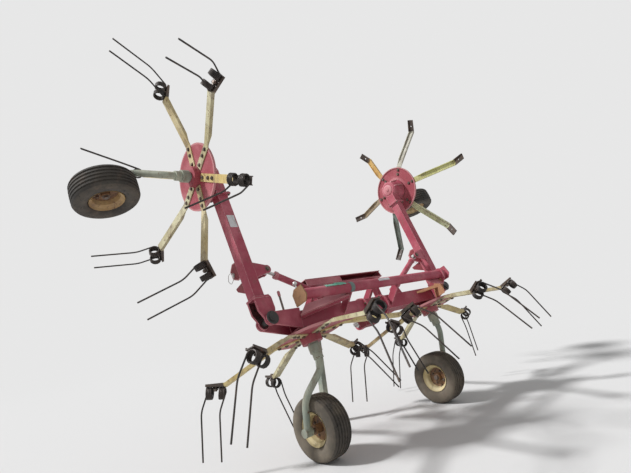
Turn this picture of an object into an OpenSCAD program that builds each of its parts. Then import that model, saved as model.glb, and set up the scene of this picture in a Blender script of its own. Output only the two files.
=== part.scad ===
/* [Stance] */
// Forward tilt of the whole frame about the wheel axles, deg
tilt = 21; // [0:0.5:22]
// Wing fold angle at rest: 90 is folded up as parked, deg
fold = 90; // [0:1:90]

/* [Layout] */
// Distance between neighbouring rotor centres
rotor_gap = 1264; // [1200:1:1340]
// Half distance between the two fold hinges
hinge_x = 900; // [860:1:960]
// Height of the fold hinge above the rotor discs
hinge_z = 125; // [110:1:150]
// Height of the drive tubes above the rotor discs
shaft_z = 90; // [80:1:120]

/* [Main beam] */
// Depth of the main beam, front to back
beam_d = 100; // [80:1:130]
// Height of the main beam
beam_h = 100; // [80:1:130]
// Wall of the main beam
beam_wall = 6; // [4:1:10]
// Half length of the main beam
beam_half = 720; // [680:1:760]

/* [Upper tube] */
// Outer diameter of the upper tube
upper_d = 64; // [50:1:100]
// Upper tube centre behind the beam centre
upper_y = -180; // [-220:1:-120]
// Upper tube centre above the rotor discs
upper_z = 190; // [160:1:240]
// Half length of the upper tube
upper_half = 750; // [700:1:800]

/* [Rotors] */
// Radius of the rotor disc
disc_r = 212; // [180:1:240]
// Radius of the fixed spindle through each rotor
spindle_r = 30; // [24:1:40]
// Width of an arm
arm_w = 50; // [40:1:60]
// Thickness of an arm's web
arm_t = 6; // [5:0.5:8]
// Height of an arm's side flanges
flange_h = 22; // [16:1:28]
// Radius where an arm bends down
arm_bend_r = 222; // [200:1:280]
// Radius where an arm kinks up into its tine seat
arm_tip_r = 548; // [500:1:600]
// Drop of that kink below the disc
arm_drop = 100; // [60:1:140]
// Drop of the kink on the right wing's bare, bent arms
bare_drop = 165; // [140:1:190]
// Length of the tine seat
seat_len = 115; // [100:1:130]
// Rise of the tine seat toward its end, deg
seat_rise = 20; // [10:1:30]

/* [Tines] */
// Wire diameter of the double tines
wire_d = 9.5; // [8:0.5:12]
// Outer radius of the tine coils
coil_r = 35; // [30:1:38]
// Length of one coil along its axis
coil_len = 44; // [30:1:60]
// Gap between the two coils of a pair
coil_gap = 26; // [24:1:36]
// Outward reach of a tine's knee from its coil
knee_out = 71; // [50:1:90]
// Drop of a tine's knee below its coil
knee_fall = 87; // [60:1:110]
// Outward reach of a tine's tip from its coil
tine_out = 150; // [120:1:160]
// Sideways sweep of a tine behind its arm
tine_lag = 110; // [80:1:130]
// Drop of a tine tip below its coil
tine_fall = 335; // [280:1:340]

/* [Wheels] */
// Tyre outer radius
tyre_r = 188; // [170:1:210]
// Tyre width
tyre_w = 150; // [130:1:170]
// Rim flange radius
rim_r = 98; // [85:1:110]
// Wheel axle in front of the rotor axis
wheel_y = 198; // [150:1:240]
// Wheel axle below the rotor disc
wheel_drop = 496; // [460:1:530]
// Outer diameter of the wheel leg tube
leg_d = 42; // [34:1:50]
// Distance from wheel middle to leg middle at the axle
leg_off = 108; // [98:1:125]

/* [Wings] */
// Distance from the fold hinge to the wing rotor centre
wing_reach = 995; // [950:1:1040]
// Width of the square wing tube
wing_w = 70; // [60:1:90]
// Wing drive line above the rotor disc
wing_z = 112; // [90:1:125]

/* [Cylinders] */
// Cylinder foot to the side of the middle
foot_x = 330; // [280:1:380]
// Cylinder foot above the rotor discs
foot_z = 190; // [160:1:220]
// Cylinder barrel radius
barrel_r = 21; // [17:1:28]
// Cylinder rod radius
rod_r = 11; // [8:1:14]
// Wing eye above the hinge when folded
eye_up = 315; // [280:1:340]
// Wing eye inboard of the hinge when folded
eye_in = 118; // [90:1:140]

/* [Headstock] */
// Lower hitch pins in front of the rotor axes
hitch_y = 450; // [430:1:480]
// Lower hitch pins above the rotor discs
hitch_z = 95; // [90:1:110]
// Half span over the headstock's lower ears
hitch_half = 333; // [325:1:345]
// Underside of the top beam above the rotor discs
top_z = 346; // [330:1:360]
// Lower hitch pin radius
pin_r = 11; // [11:0.5:14]
// Input shaft above the rotor discs
input_z = 45; // [40:1:60]
// Parking stand in front of the rotor axes
stand_y = 530; // [525:1:560]
// Parking stand left of the middle
stand_x = 110; // [105:1:120]

/* [Hidden] */
$fn = 48;
origin_y = -124;
// underside of the arms where they lie under the disc
arm_low = -6.2 - arm_t;
seat_mid = seat_len / 2;
mast_y = 285;
mast_z = top_z + 39;
stand_z = 60;
gap = 0.3;
run_gap = 0.05;
stand_h = tyre_r + sin(tilt) * wheel_y + cos(tilt) * wheel_drop;
half_gap = rotor_gap / 2;
// phase of each rotor's first arm in its own frame, so neighbours mesh
phase_in_left = 22;
phase_in_right = 52;
phase_wing_left = 8;
phase_wing_right = -22;

paint = [0.70, 0.20, 0.28];
cream = [0.82, 0.76, 0.55];
dark = [0.12, 0.11, 0.10];
rubber = [0.16, 0.15, 0.14];
steel = [0.55, 0.55, 0.56];
leg_paint = [0.58, 0.60, 0.52];

// frames: the tilted machine, one side of it, a folded wing and the rotor spots
module tilted() translate([0, origin_y, stand_h]) rotate([-tilt, 0, 0]) children();
module on_side(side) mirror([side > 0 ? 1 : 0, 0, 0]) children();
module both() { children(); mirror([1, 0, 0]) children(); }
module wing(side) tilted() on_side(side) translate([-hinge_x, 0, hinge_z]) rotate([0, fold, 0])
  translate([-wing_reach, 0, -hinge_z]) children();
module inner(side) tilted() on_side(side) translate([-half_gap, 0, 0]) children();

// a round bar from p to q, flat ended
module bar(p, q, r) {
  d = q - p;
  translate(p) rotate([0, acos(d[2] / norm(d)), atan2(d[1], d[0])]) cylinder(r = r, h = norm(d));
}
// a bent round tube through a list of points
module bent(points, r) {
  for (i = [0 : len(points) - 2]) bar(points[i], points[i + 1], r);
  for (i = [1 : len(points) - 2]) translate(points[i]) sphere(r = r * 1.04);
}
module main_beam() color(paint) tilted() {
  beam_box();
  for (x = [-114, 100]) translate([x, 0, shaft_z]) difference() {
    rotate([0, 90, 0]) cylinder(r = 72, h = 14);
    translate([-1, -beam_d / 2 + beam_wall, -beam_h / 2 + beam_wall])
      cube([16, beam_d - 2 * beam_wall, beam_h - 2 * beam_wall]);
  }
}
module beam_box() difference() {
  translate([0, 0, shaft_z]) cube([2 * beam_half, beam_d, beam_h], center = true);
  both() translate([60, -beam_d / 2 + beam_wall, shaft_z - beam_h / 2 + beam_wall])
    cube([beam_half, beam_d - 2 * beam_wall, beam_h - 2 * beam_wall]);
}

// centre drive housing with the input neck toward the tractor
module gearboxes() color(paint) { centre_housing(); inner_housings(); }
module centre_housing() tilted() {
  difference() {
    union() {
      translate([-62, beam_d / 2, input_z - 60]) cube([124, 60, 150]);
      translate([0, beam_d / 2 + 59, input_z]) rotate([-90, 0, 0]) cylinder(r = 50, h = 24);
    }
    translate([0, beam_d / 2 + 20, input_z]) rotate([-90, 0, 0]) cylinder(r = 20 + run_gap, h = 100);
  }
}

module inner_housings() for (side = [-1, 1]) inner(side) difference() {
  rotate_extrude() polygon([[0, 13], [78, 13], [78, 22], [62, shaft_z - beam_h / 2], [0, shaft_z - beam_h / 2]]);
  translate([0, 0, 12]) cylinder(r = spindle_r, h = 20);
}

// clevis plates that carry each fold hinge
module clevis_plate(y) translate([0, y - 6, 0]) rotate([90, 0, 0]) translate([0, 0, -12])
  linear_extrude(12) difference() {
    union() {
      translate([-hinge_x, hinge_z]) circle(r = 36);
      polygon([[-hinge_x - 20, hinge_z - 32], [-beam_half + 90, 42], [-beam_half + 90, 138],
        [-hinge_x, hinge_z + 36], [-hinge_x - 30, hinge_z + 20]]);
    }
    translate([-hinge_x, hinge_z]) circle(r = 16);
  }
// ears and pin at the foot of a fold cylinder
module cylinder_foot() translate([foot_x, 0, 0]) {
  for (y = [-26, 16]) translate([0, y, 0]) rotate([-90, 0, 0]) linear_extrude(10)
    polygon([[-40, -shaft_z - beam_h / 2], [40, -shaft_z - beam_h / 2], [20, -foot_z - 20], [-20, -foot_z - 20]]);
  translate([0, -30, foot_z]) rotate([-90, 0, 0]) cylinder(r = 12.5 - run_gap, h = 60);
}
module hinge_brackets() color(paint) tilted() both() {
  clevis_plate(-beam_d / 2 - 6);
  clevis_plate(beam_d / 2 + 6);
  cylinder_foot();
}

module hinge_pins() color(steel) tilted() both() translate([-hinge_x, 0, hinge_z]) rotate([90, 0, 0]) {
  translate([0, 0, -82]) cylinder(r = 16, h = 164);
  translate([0, 0, 69]) cylinder(r = 26, h = 12);
}

module upper_tube() color(paint) tilted() translate([-upper_half, upper_y, upper_z]) rotate([0, 90, 0])
  difference() {
    cylinder(r = upper_d / 2, h = 2 * upper_half);
    translate([0, 0, -1]) cylinder(r = upper_d / 2 - 5, h = 2 * upper_half + 2);
  }

module tube_ends() color([0.45, 0.27, 0.14]) tilted() both() translate([-upper_half - 8, upper_y, upper_z])
  rotate([90, 0, 90]) linear_extrude(8) polygon([[-55, -20], [-30, -52], [58, -52], [58, 20], [30, 46], [-40, 46]]);

module post_plates() for (x = [-560, 150, 560]) translate([x, 0, 0])
  rotate([90, 0, 90]) linear_extrude(10) difference() {
    polygon([[-beam_d / 2 - 60, 40], [-beam_d / 2, 40], [-beam_d / 2, 140], [upper_y + 60, upper_z + 34],
      [upper_y - 38, upper_z + 20], [upper_y - 38, upper_z - 34]]);
    translate([upper_y, upper_z]) circle(r = upper_d / 2);
  }

module tube_posts() color(paint) tilted() {
  post_plates();
  both() bar([-548, -110, 112], [-152, -110, 200], 14);
}

module crossbar() color(paint) tilted() translate([-371, 112, top_z]) difference() {
  cube([742, 70, 50]);
  translate([-1, 6, 6]) cube([744, 58, 60]);
}

// one side of the three point headstock, drawn as [y, z]
module hitch_side() translate([-hitch_half, 0, 0]) difference() {
  union() {
    translate([0, beam_d / 2, shaft_z - 40]) cube([43, hitch_y - 50 - beam_d / 2, 60]);
    translate([1, 127, shaft_z]) cube([40, 40, top_z - gap - shaft_z]);
    rotate([90, 0, 90]) linear_extrude(28) {
      translate([hitch_y, hitch_z]) circle(r = 42);
      polygon([[hitch_y - 90, shaft_z - 40], [hitch_y - 10, hitch_z - 41], [hitch_y + 30, hitch_z + 30],
        [160, top_z - gap - 2], [160, top_z - 56], [hitch_y - 56, shaft_z + 30], [hitch_y - 90, shaft_z + 10]]);
    }
  }
  translate([-1, hitch_y, hitch_z]) rotate([0, 90, 0]) cylinder(r = pin_r + 3, h = 45);
}
// ear of the top link, standing on the front of the top beam
module top_ear() translate([23, 0, 0]) rotate([90, 0, 90]) linear_extrude(12) difference() {
  union() {
    translate([mast_y, mast_z]) circle(r = 26);
    polygon([[182 + gap, top_z + 2], [mast_y + 8, mast_z - 25], [mast_y + 8, mast_z + 25], [182 + gap, top_z + 50]]);
  }
  translate([mast_y, mast_z]) circle(r = 9.75);
}
module headstock() color(paint) tilted() {
  both() {
    hitch_side();
    top_ear();
  }
  stand_rail();
}
// upright square socket for the parking stand, carried by the rail between the two sides
module upright() translate([-stand_x, stand_y, stand_z]) rotate([tilt, 0, 0]) children();
module stand_rail() difference() {
  union() {
    translate([-hitch_half + 28 + gap, 352, 158]) cube([2 * (hitch_half - 28 - gap), 40, 40]);
    upright() translate([-30, -30, 60]) cube([60, 60, 130]);
    translate([-stand_x - 25, 390, 160]) cube([50, 90, 36]);
  }
  upright() translate([-22 - run_gap, -22 - run_gap, 0]) cube([44 + 2 * run_gap, 44 + 2 * run_gap, 400]);
}

module lower_pins() color(steel) tilted() both() translate([-hitch_half, hitch_y, hitch_z]) rotate([0, 90, 0]) {
  translate([0, 0, -63]) cylinder(r = pin_r, h = 56);
  translate([0, 0, -69]) cylinder(r1 = pin_r - 4, r2 = pin_r, h = 6);
  translate([0, 0, -8]) cylinder(r = 22, h = 8);
  cylinder(r = pin_r + 3, h = 28);
  translate([0, 0, 28]) cylinder(r = 21, h = 16, $fn = 6);
}

// fixed spindle, collar, bent tube and stub axle that carry one wheel
module leg() {
  difference() {
    translate([0, 0, -150]) cylinder(r = spindle_r, h = 162);
    translate([0, 0, -151]) cylinder(r = 12, h = 20);
  }
  translate([0, 0, -112]) cylinder(r = 38, h = 50);
  bent([[0, 0, -112], [0, 0, -195], [-leg_off + 6, wheel_y - 70, -wheel_drop + 168],
    [-leg_off, wheel_y, -wheel_drop]], leg_d / 2);
  translate([-leg_off, wheel_y, -wheel_drop]) rotate([0, 90, 0]) {
    translate([0, 0, -leg_d / 2 - 6]) cylinder(r = 26, h = leg_d + 12);
    cylinder(r = 12.5, h = leg_off + 30);
  }
}
module wheel_legs() color(leg_paint) for (side = [-1, 1]) inner(side) leg();

module stand() color(paint) tilted() upright() {
  drop = stand_h - stand_y * sin(tilt) + stand_z * cos(tilt);
  translate([-22, -22, -drop + 4]) cube([44, 44, drop + 200]);
  translate([-50, -45, -drop]) cube([100, 90, 8]);
}

module pto_shaft() color(steel) tilted() translate([0, beam_d / 2 + 22, input_z]) rotate([-90, 0, 0]) {
  cylinder(r = 20, h = 62);
  translate([0, 0, 62]) linear_extrude(76) difference() {
    circle(r = 17.45);
    for (i = [0 : 5]) rotate(i * 60) translate([16.5, 0]) square([5, 8.6], center = true);
  }
}

// wing drive tube between the fork and the rotor's gearbox
module wing_tube() difference() {
  translate([150, -wing_w / 2, wing_z - wing_w / 2]) cube([wing_reach - 150 - 147, wing_w, wing_w]);
  translate([149, -wing_w / 2 + 5, wing_z - wing_w / 2 + 5]) cube([wing_reach - 295, wing_w - 10, wing_w - 10]);
}
module wing_fork() difference() {
  union() {
    for (y = [-42, 30]) translate([wing_reach - 135, y, hinge_z - 50]) cube([105, 12, 90]);
    translate([wing_reach - 147, -46, hinge_z - 56]) cube([12, 92, 102]);
    for (y = [-42, 30]) translate([wing_reach, y, hinge_z]) rotate([-90, 0, 0]) cylinder(r = 34, h = 12);
    for (y = [-42, 30]) translate([wing_reach - 40, y, hinge_z - 34]) cube([40, 12, 68]);
    // eye lug for the cylinder rod
    translate([wing_reach - eye_up - 45, -31, wing_z + wing_w / 2]) cube([90, 10, 40]);
    translate([wing_reach - eye_up - 45, 21, wing_z + wing_w / 2]) cube([90, 10, 40]);
    for (y = [-31, 21]) translate([wing_reach - eye_up, y, hinge_z + eye_in]) rotate([-90, 0, 0]) cylinder(r = 24, h = 10);
    for (y = [-31, 21]) translate([wing_reach - eye_up - 24, y, wing_z + wing_w / 2 + 1])
      cube([48, 10, hinge_z + eye_in - wing_z - wing_w / 2 - 1]);
  }
  translate([wing_reach, -60, hinge_z]) rotate([-90, 0, 0]) cylinder(r = 16 + run_gap, h = 120);
  translate([wing_reach - 148, -30, hinge_z - 44]) cube([14, 60, 80]);
}
module wing_gearbox() {
  difference() {
    union() {
      rotate_extrude() polygon([[0, 13], [100, 13], [100, 24], [84, 60], [72, 118], [60, 128], [0, 128]]);
      translate([60, -38, wing_z - 40]) cube([78, 76, 76]);
      translate([138, -52, wing_z - 52]) cube([12, 104, 104]);
    }
    translate([0, 0, 12]) cylinder(r = spindle_r, h = 20);
  }
}
module wing_tube_left() color(paint) wing(-1) wing_tube();
module wing_tube_right() color(paint) wing(1) wing_tube();
module wing_fork_left() color(paint) wing(-1) wing_fork();
module wing_fork_right() color(paint) wing(1) wing_fork();
module wing_gearbox_left() color(paint) wing(-1) wing_gearbox();
module wing_gearbox_right() color(paint) wing(1) wing_gearbox();
module wing_leg_left() color(leg_paint) wing(-1) leg();
module wing_leg_right() color(leg_paint) wing(1) leg();

// fold cylinder, retracted, between its foot and the wing's eye
eye_x = hinge_x - eye_in;
eye_z = hinge_z + eye_up;
ram_len = norm([eye_x - foot_x, eye_z - foot_z]);
ram_ang = atan2(eye_z - foot_z, eye_x - foot_x);
module ram(side) tilted() on_side(-side) translate([foot_x, 0, foot_z]) rotate([0, -ram_ang, 0]) children();
module barrel() {
  difference() {
    union() {
      translate([20, 0, 0]) rotate([0, 90, 0]) cylinder(r = 14, h = 42);
      translate([60, 0, 0]) rotate([0, 90, 0]) cylinder(r = barrel_r, h = ram_len - 125);
      rotate([90, 0, 0]) translate([0, 0, -12]) cylinder(r = 24, h = 24);
    }
    rotate([90, 0, 0]) translate([0, 0, -20]) cylinder(r = 12.5, h = 40);
    translate([68, 0, 0]) rotate([0, 90, 0]) cylinder(r = rod_r + gap, h = ram_len);
  }
}
module rod() {
  translate([70, 0, 0]) rotate([0, 90, 0]) cylinder(r = rod_r, h = ram_len - 85);
  translate([ram_len, 0, 0]) rotate([90, 0, 0]) translate([0, 0, -12]) cylinder(r = 20, h = 24);
  translate([ram_len, 0, 0]) rotate([90, 0, 0]) translate([0, 0, -17]) cylinder(r = 9, h = 34);
}
module barrel_left() color(paint) ram(-1) barrel();
module barrel_right() color(paint) ram(1) barrel();
module rod_left() color(steel) ram(-1) rod();
module rod_right() color(steel) ram(1) rod();

// rotor disc: rolled edge, dished web and hub
module disc() rotate_extrude() polygon([[spindle_r + run_gap, -52], [64, -52], [64, -6], [disc_r, -6],
  [disc_r, 8], [205, 8], [198, 0], [122, 0], [66, 12.7], [spindle_r + run_gap, 12.7]]);

// a side outline [x, z] made w wide about the middle of the arm
module across(w) rotate([90, 0, 0]) translate([0, 0, -w / 2]) linear_extrude(w) children();

// the tine seat's frame: origin at the kink, x along the seat, z up from its underside
module seat(drop) translate([arm_tip_r, 0, -drop]) rotate([0, -seat_rise, 0]) children();

// pressed arm: a flat strip under the disc, an upward channel outside it and the rising tine seat
module arm(drop, bare) {
  slope = (drop + arm_low) / (arm_tip_r - arm_bend_r);
  tip = [arm_tip_r, -drop];
  out = seat_len * [cos(seat_rise), sin(seat_rise)];
  up = [-sin(seat_rise), cos(seat_rise)];
  open_r = arm_bend_r + 18;
  full_r = arm_bend_r + 78;
  difference() {
    across(arm_w) polygon([[66, arm_low], [arm_bend_r, arm_low], tip, tip + out, tip + out + flange_h * 0.6 * up,
      tip + [0, flange_h], [full_r, arm_low - slope * 78 + flange_h], [open_r, arm_low - slope * 18 + arm_t],
      [arm_bend_r, arm_low + arm_t], [66, arm_low + arm_t]]);
    across(arm_w - 11) polygon([[open_r, arm_low - slope * 18 + arm_t], tip + [0, arm_t],
      tip + out * 1.04 + arm_t * up, tip + out * 1.04 + 2 * flange_h * up, tip + [0, 2 * flange_h],
      [full_r, arm_low - slope * 78 + 2 * flange_h], [open_r, arm_low + 2 * flange_h]]);
    if (bare) seat(drop) translate([seat_mid, 0, -1]) cylinder(r = 6.5, h = arm_t + 2);
  }
  if (!bare) seat(drop) {
    translate([seat_mid - 11, -17, -wire_d - gap - 6]) cube([22, 34, 4.7]);
    translate([seat_mid, 11, -wire_d - 10]) cylinder(r = 5, h = wire_d + 12);
  }
}
module arms(phase) for (i = [0 : 5]) rotate(phase + 60 * i) arm(arm_drop, false);
module bare_arms(phase) for (i = [0 : 5]) rotate(phase + 60 * i) arm(bare_drop, true);

// one double tine: two coils under the seat, the loop between them and two kneed legs, sweep is 1 or -1
module tine(sweep) {
  mid_r = coil_r - wire_d / 2;
  seat(arm_drop) {
    for (s = [seat_mid - coil_gap / 2 - coil_len, seat_mid + coil_gap / 2])
      translate([s, 0, -coil_r - gap]) rotate([0, 90, 0]) difference() {
        cylinder(r = coil_r, h = coil_len);
        translate([0, 0, -1]) cylinder(r = coil_r - wire_d - 1.5, h = coil_len + 2);
      }
    translate([seat_mid - coil_gap / 2 - 4, 0, -gap - 1 - wire_d / 2]) rotate([0, 90, 0])
      cylinder(r = wire_d / 2, h = coil_gap + 8);
  }
  for (s = [seat_mid - coil_gap / 2 - coil_len + wire_d / 2, seat_mid + coil_gap / 2 + coil_len - wire_d / 2]) {
    z = 9 - coil_r - gap;
    start = [arm_tip_r + s * cos(seat_rise) - z * sin(seat_rise), -sweep * sqrt(mid_r * mid_r - 81),
      s * sin(seat_rise) + z * cos(seat_rise) - arm_drop];
    bent([start, start + [knee_out, -sweep * tine_lag * 0.31, -knee_fall],
      start + [tine_out, -sweep * tine_lag, -tine_fall]], wire_d / 2);
  }
}
module tines(phase, sweep) for (i = [0 : 5]) rotate(phase + 60 * i) tine(sweep);

module disc_inner_left() color(paint) inner(-1) disc();
module disc_inner_right() color(paint) inner(1) disc();
module disc_wing_left() color(paint) wing(-1) disc();
module disc_wing_right() color(paint) wing(1) disc();
module arms_inner_left() color(cream) inner(-1) arms(phase_in_left);
module arms_inner_right() color(cream) inner(1) arms(phase_in_right);
module arms_wing_left() color(cream) wing(-1) arms(phase_wing_left);
module arms_wing_right() color(cream) wing(1) bare_arms(phase_wing_right);
module tines_inner_left() color(dark) inner(-1) tines(phase_in_left, 1);
module tines_inner_right() color(dark) inner(1) tines(phase_in_right, 1);
module tines_wing_left() color(dark) wing(-1) tines(phase_wing_left, -1);

// tyre and rim about the X axis
module at_wheel() translate([0, wheel_y, -wheel_drop]) rotate([0, 90, 0]) children();
module tyre() at_wheel() rotate_extrude() polygon([[rim_r, -52], [rim_r + 6, -62], [tyre_r - 46, -tyre_w / 2],
  [tyre_r - 20, -tyre_w / 2 + 2], [tyre_r - 4, -tyre_w / 2 + 20], [tyre_r, -20], [tyre_r, 20],
  [tyre_r - 4, tyre_w / 2 - 20], [tyre_r - 20, tyre_w / 2 - 2], [tyre_r - 46, tyre_w / 2], [rim_r + 6, 62], [rim_r, 52]]);
module rim() at_wheel() rotate_extrude() polygon([[12.5 + run_gap, -60], [26, -60], [26, -10], [70, -4], [78, -36],
  [rim_r - 6, -50], [rim_r - 0.1, -62], [rim_r - 0.1, -50], [84, -34], [84, 34], [rim_r - 0.1, 50], [rim_r - 0.1, 62],
  [rim_r - 6, 50], [78, 36], [70, 6], [26, 0], [26, 30], [12.5 + run_gap, 30]]);
module tyre_inner_left() color(rubber) inner(-1) tyre();
module tyre_inner_right() color(rubber) inner(1) tyre();
module tyre_wing_left() color(rubber) wing(-1) tyre();
module tyre_wing_right() color(rubber) wing(1) tyre();
module rim_inner_left() color(cream) inner(-1) rim();
module rim_inner_right() color(cream) inner(1) rim();
module rim_wing_left() color(cream) wing(-1) rim();
module rim_wing_right() color(cream) wing(1) rim();

main_beam();
gearboxes();
hinge_brackets();
hinge_pins();
upper_tube();
tube_ends();
tube_posts();
crossbar();
headstock();
lower_pins();
wheel_legs();
stand();
pto_shaft();
wing_tube_left();
wing_fork_left();
wing_gearbox_left();
wing_leg_left();
wing_tube_right();
wing_fork_right();
wing_gearbox_right();
wing_leg_right();
barrel_left();
rod_left();
barrel_right();
rod_right();
disc_inner_left();
arms_inner_left();
tines_inner_left();
disc_inner_right();
arms_inner_right();
tines_inner_right();
disc_wing_left();
arms_wing_left();
tines_wing_left();
disc_wing_right();
arms_wing_right();
tyre_inner_left();
rim_inner_left();
tyre_inner_right();
rim_inner_right();
tyre_wing_left();
rim_wing_left();
tyre_wing_right();
rim_wing_right();
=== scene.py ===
import math
import random
import bpy
from mathutils import Matrix, Vector
from mathutils.geometry import tessellate_polygon


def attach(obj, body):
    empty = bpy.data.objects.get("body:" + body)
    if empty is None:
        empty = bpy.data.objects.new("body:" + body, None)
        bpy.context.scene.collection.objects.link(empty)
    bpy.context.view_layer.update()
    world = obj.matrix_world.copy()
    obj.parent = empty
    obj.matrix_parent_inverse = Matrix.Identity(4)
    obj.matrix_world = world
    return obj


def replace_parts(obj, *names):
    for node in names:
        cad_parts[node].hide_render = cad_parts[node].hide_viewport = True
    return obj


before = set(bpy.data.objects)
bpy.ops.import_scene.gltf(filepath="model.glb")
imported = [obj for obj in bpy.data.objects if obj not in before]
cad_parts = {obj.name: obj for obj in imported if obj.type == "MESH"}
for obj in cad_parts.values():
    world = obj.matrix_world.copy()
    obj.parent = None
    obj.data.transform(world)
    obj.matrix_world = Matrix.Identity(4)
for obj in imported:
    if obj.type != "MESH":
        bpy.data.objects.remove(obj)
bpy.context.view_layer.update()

random.seed(7)

# Layout of the machine, in metres, as in the CAD source
TILT = math.radians(21)
ORIGIN_Y = -0.124
BEAM = 0.100
BEAM_HALF = 0.720
SHAFT_Z = 0.090
HALF_GAP = 0.632
HINGE_X = 0.900
HINGE_Z = 0.125
UPPER_Y = -0.180
UPPER_Z = 0.190
UPPER_R = 0.032
UPPER_HALF = 0.750
# top beam: half its length, its rear face, depth, underside and height
TOP_HALF = 0.396
TOP_Y = 0.100
TOP_DEEP = 0.082
TOP_Z = 0.346
TOP_H = 0.050
# wings: hinge to rotor, the tube's middle and width, and the rod's eye above and beside the hinge
WING_REACH = 0.995
WING_Z = 0.112
WING_W = 0.070
EYE_UP = 0.315
EYE_IN = 0.118
# feet of the cylinders
FOOT_X = 0.330
FOOT_Z = 0.190
# wheels and their legs
TYRE_R = 0.188
TYRE_W = 0.150
RIM_R = 0.098
WHEEL_Y = 0.198
WHEEL_DROP = 0.496
LEG_R = 0.0205
LEG_OFF = 0.108
SPINDLE_R = 0.030
STUB_R = 0.0125
# arms, their tine seats, and the double tines
ARMS = 6
ARM_STEP = 360 / ARMS
ARM_LOW = -0.0122
ARM_WEB = 0.006
ARM_TIP_R = 0.548
ARM_DROP = 0.100
SEAT_LEN = 0.115
SEAT_RISE = math.radians(20)
WIRE_R = 0.00475
COIL_R = 0.035
COIL_LEN = 0.044
COIL_GAP = 0.026
CONTACT = 0.0003
LEG_INSET = 0.009
KNEE = (0.071, 0.0341, 0.087)
TIP = (0.150, 0.110, 0.335)
STAND_HEIGHT = TYRE_R + math.sin(TILT) * WHEEL_Y + math.cos(TILT) * WHEEL_DROP

# Frames: the tilted machine here, and below a side of it, an inner rotor and a folded wing's rotor
MACHINE = Matrix.Translation((0, ORIGIN_Y, STAND_HEIGHT)) @ Matrix.Rotation(-TILT, 4, "X")


def move(x, y, z):
    return Matrix.Translation((x, y, z))


def turn(degrees, axis):
    return Matrix.Rotation(math.radians(degrees), 4, axis)


def on_side(side):
    """The machine's frame for the left side, -1, and its mirror image for the right side, 1."""
    return MACHINE @ Matrix.Diagonal((-1 if side > 0 else 1, 1, 1, 1))


def inner(side):
    return on_side(side) @ move(-HALF_GAP, 0, 0)


def wing(side):
    """Frame of a folded wing's rotor: its x runs along the wing tube to the hinge."""
    return on_side(side) @ move(-HINGE_X, 0, HINGE_Z) @ turn(90, "Y") @ move(-WING_REACH, 0, -HINGE_Z)


def on_axle(rotor, x):
    """Frame on the axle of the wheel under a rotor, at x from the wheel's middle, with z along the axle."""
    return rotor @ move(x, WHEEL_Y, -WHEEL_DROP) @ turn(90, "Y")


SIDES = {"left": -1, "right": 1}
# name, frame, first arm's angle and sweep of the tines, which is 0 on the rotor without them
ROTORS = [
    ("inner_left", inner(-1), 22, 1),
    ("inner_right", inner(1), 52, 1),
    ("wing_left", wing(-1), 8, -1),
    ("wing_right", wing(1), -22, 0),
]


# Materials
def new_material(name):
    material = bpy.data.materials.new(name)
    material.use_nodes = True
    return material, material.node_tree.nodes, material.node_tree.links


def noise(nodes, links, scale, detail, rough, stretch=(1, 1, 1)):
    """Noise in the node's own coordinates, about 0.5 on average."""
    place = nodes.new("ShaderNodeTexCoord")
    mapping = nodes.new("ShaderNodeMapping")
    mapping.inputs["Scale"].default_value = stretch
    links.new(place.outputs["Object"], mapping.inputs["Vector"])
    tex = nodes.new("ShaderNodeTexNoise")
    tex.inputs["Scale"].default_value = scale
    tex.inputs["Detail"].default_value = detail
    tex.inputs["Roughness"].default_value = rough
    links.new(mapping.outputs["Vector"], tex.inputs["Vector"])
    return tex.outputs["Fac"]


def ramp(nodes, links, value, low, high):
    """A smooth step from 0 at low to 1 at high, where low may be the larger."""
    step = nodes.new("ShaderNodeMapRange")
    step.interpolation_type = "SMOOTHSTEP"
    step.inputs["From Min"].default_value = low
    step.inputs["From Max"].default_value = high
    links.new(value, step.inputs["Value"])
    return step.outputs["Result"]


def mixed(nodes, links, factor, a, b):
    """Blend from a to b, each a colour or the socket that gives one."""
    mix = nodes.new("ShaderNodeMix")
    mix.data_type = "RGBA"
    links.new(factor, mix.inputs["Factor"])
    for socket, value in ((mix.inputs["A"], a), (mix.inputs["B"], b)):
        if isinstance(value, tuple):
            socket.default_value = (*value, 1)
        else:
            links.new(value, socket)
    return mix.outputs["Result"]


def scaled(nodes, links, value, factor):
    times = nodes.new("ShaderNodeMath")
    times.operation = "MULTIPLY"
    times.inputs[1].default_value = factor
    links.new(value, times.inputs[0])
    return times.outputs["Value"]


def radius_mask(nodes, links, rotor, start, end):
    """1 beyond the given distance from a rotor's axis, in the node's own coordinates."""
    axis = (rotor.to_3x3() @ Vector((0, 0, 1))).normalized()
    place = nodes.new("ShaderNodeTexCoord")
    arm = nodes.new("ShaderNodeVectorMath")
    arm.operation = "SUBTRACT"
    arm.inputs[1].default_value = rotor.translation
    links.new(place.outputs["Object"], arm.inputs[0])
    across = nodes.new("ShaderNodeVectorMath")
    across.operation = "CROSS_PRODUCT"
    across.inputs[1].default_value = axis
    links.new(arm.outputs["Vector"], across.inputs[0])
    length = nodes.new("ShaderNodeVectorMath")
    length.operation = "LENGTH"
    links.new(across.outputs["Vector"], length.inputs[0])
    return ramp(nodes, links, length.outputs["Value"], start, end)


def edge_mask(nodes, links, grains):
    """Close to 1 along sharp edges, broken up by the grains: where the lighter edge colour shows, partly
    rubbed paint and partly painted highlight.
    """
    bevel = nodes.new("ShaderNodeBevel")
    bevel.samples = 6
    bevel.inputs["Radius"].default_value = 0.0045
    surface = nodes.new("ShaderNodeNewGeometry")
    agree = nodes.new("ShaderNodeVectorMath")
    agree.operation = "DOT_PRODUCT"
    links.new(bevel.outputs["Normal"], agree.inputs[0])
    links.new(surface.outputs["True Normal"], agree.inputs[1])
    rubbed_and_lit = ramp(nodes, links, agree.outputs["Value"], 0.99, 0.90)
    broken = nodes.new("ShaderNodeMath")
    broken.operation = "MULTIPLY"
    links.new(rubbed_and_lit, broken.inputs[0])
    links.new(ramp(nodes, links, grains, 0.34, 0.56), broken.inputs[1])
    return broken.outputs["Value"]


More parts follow.
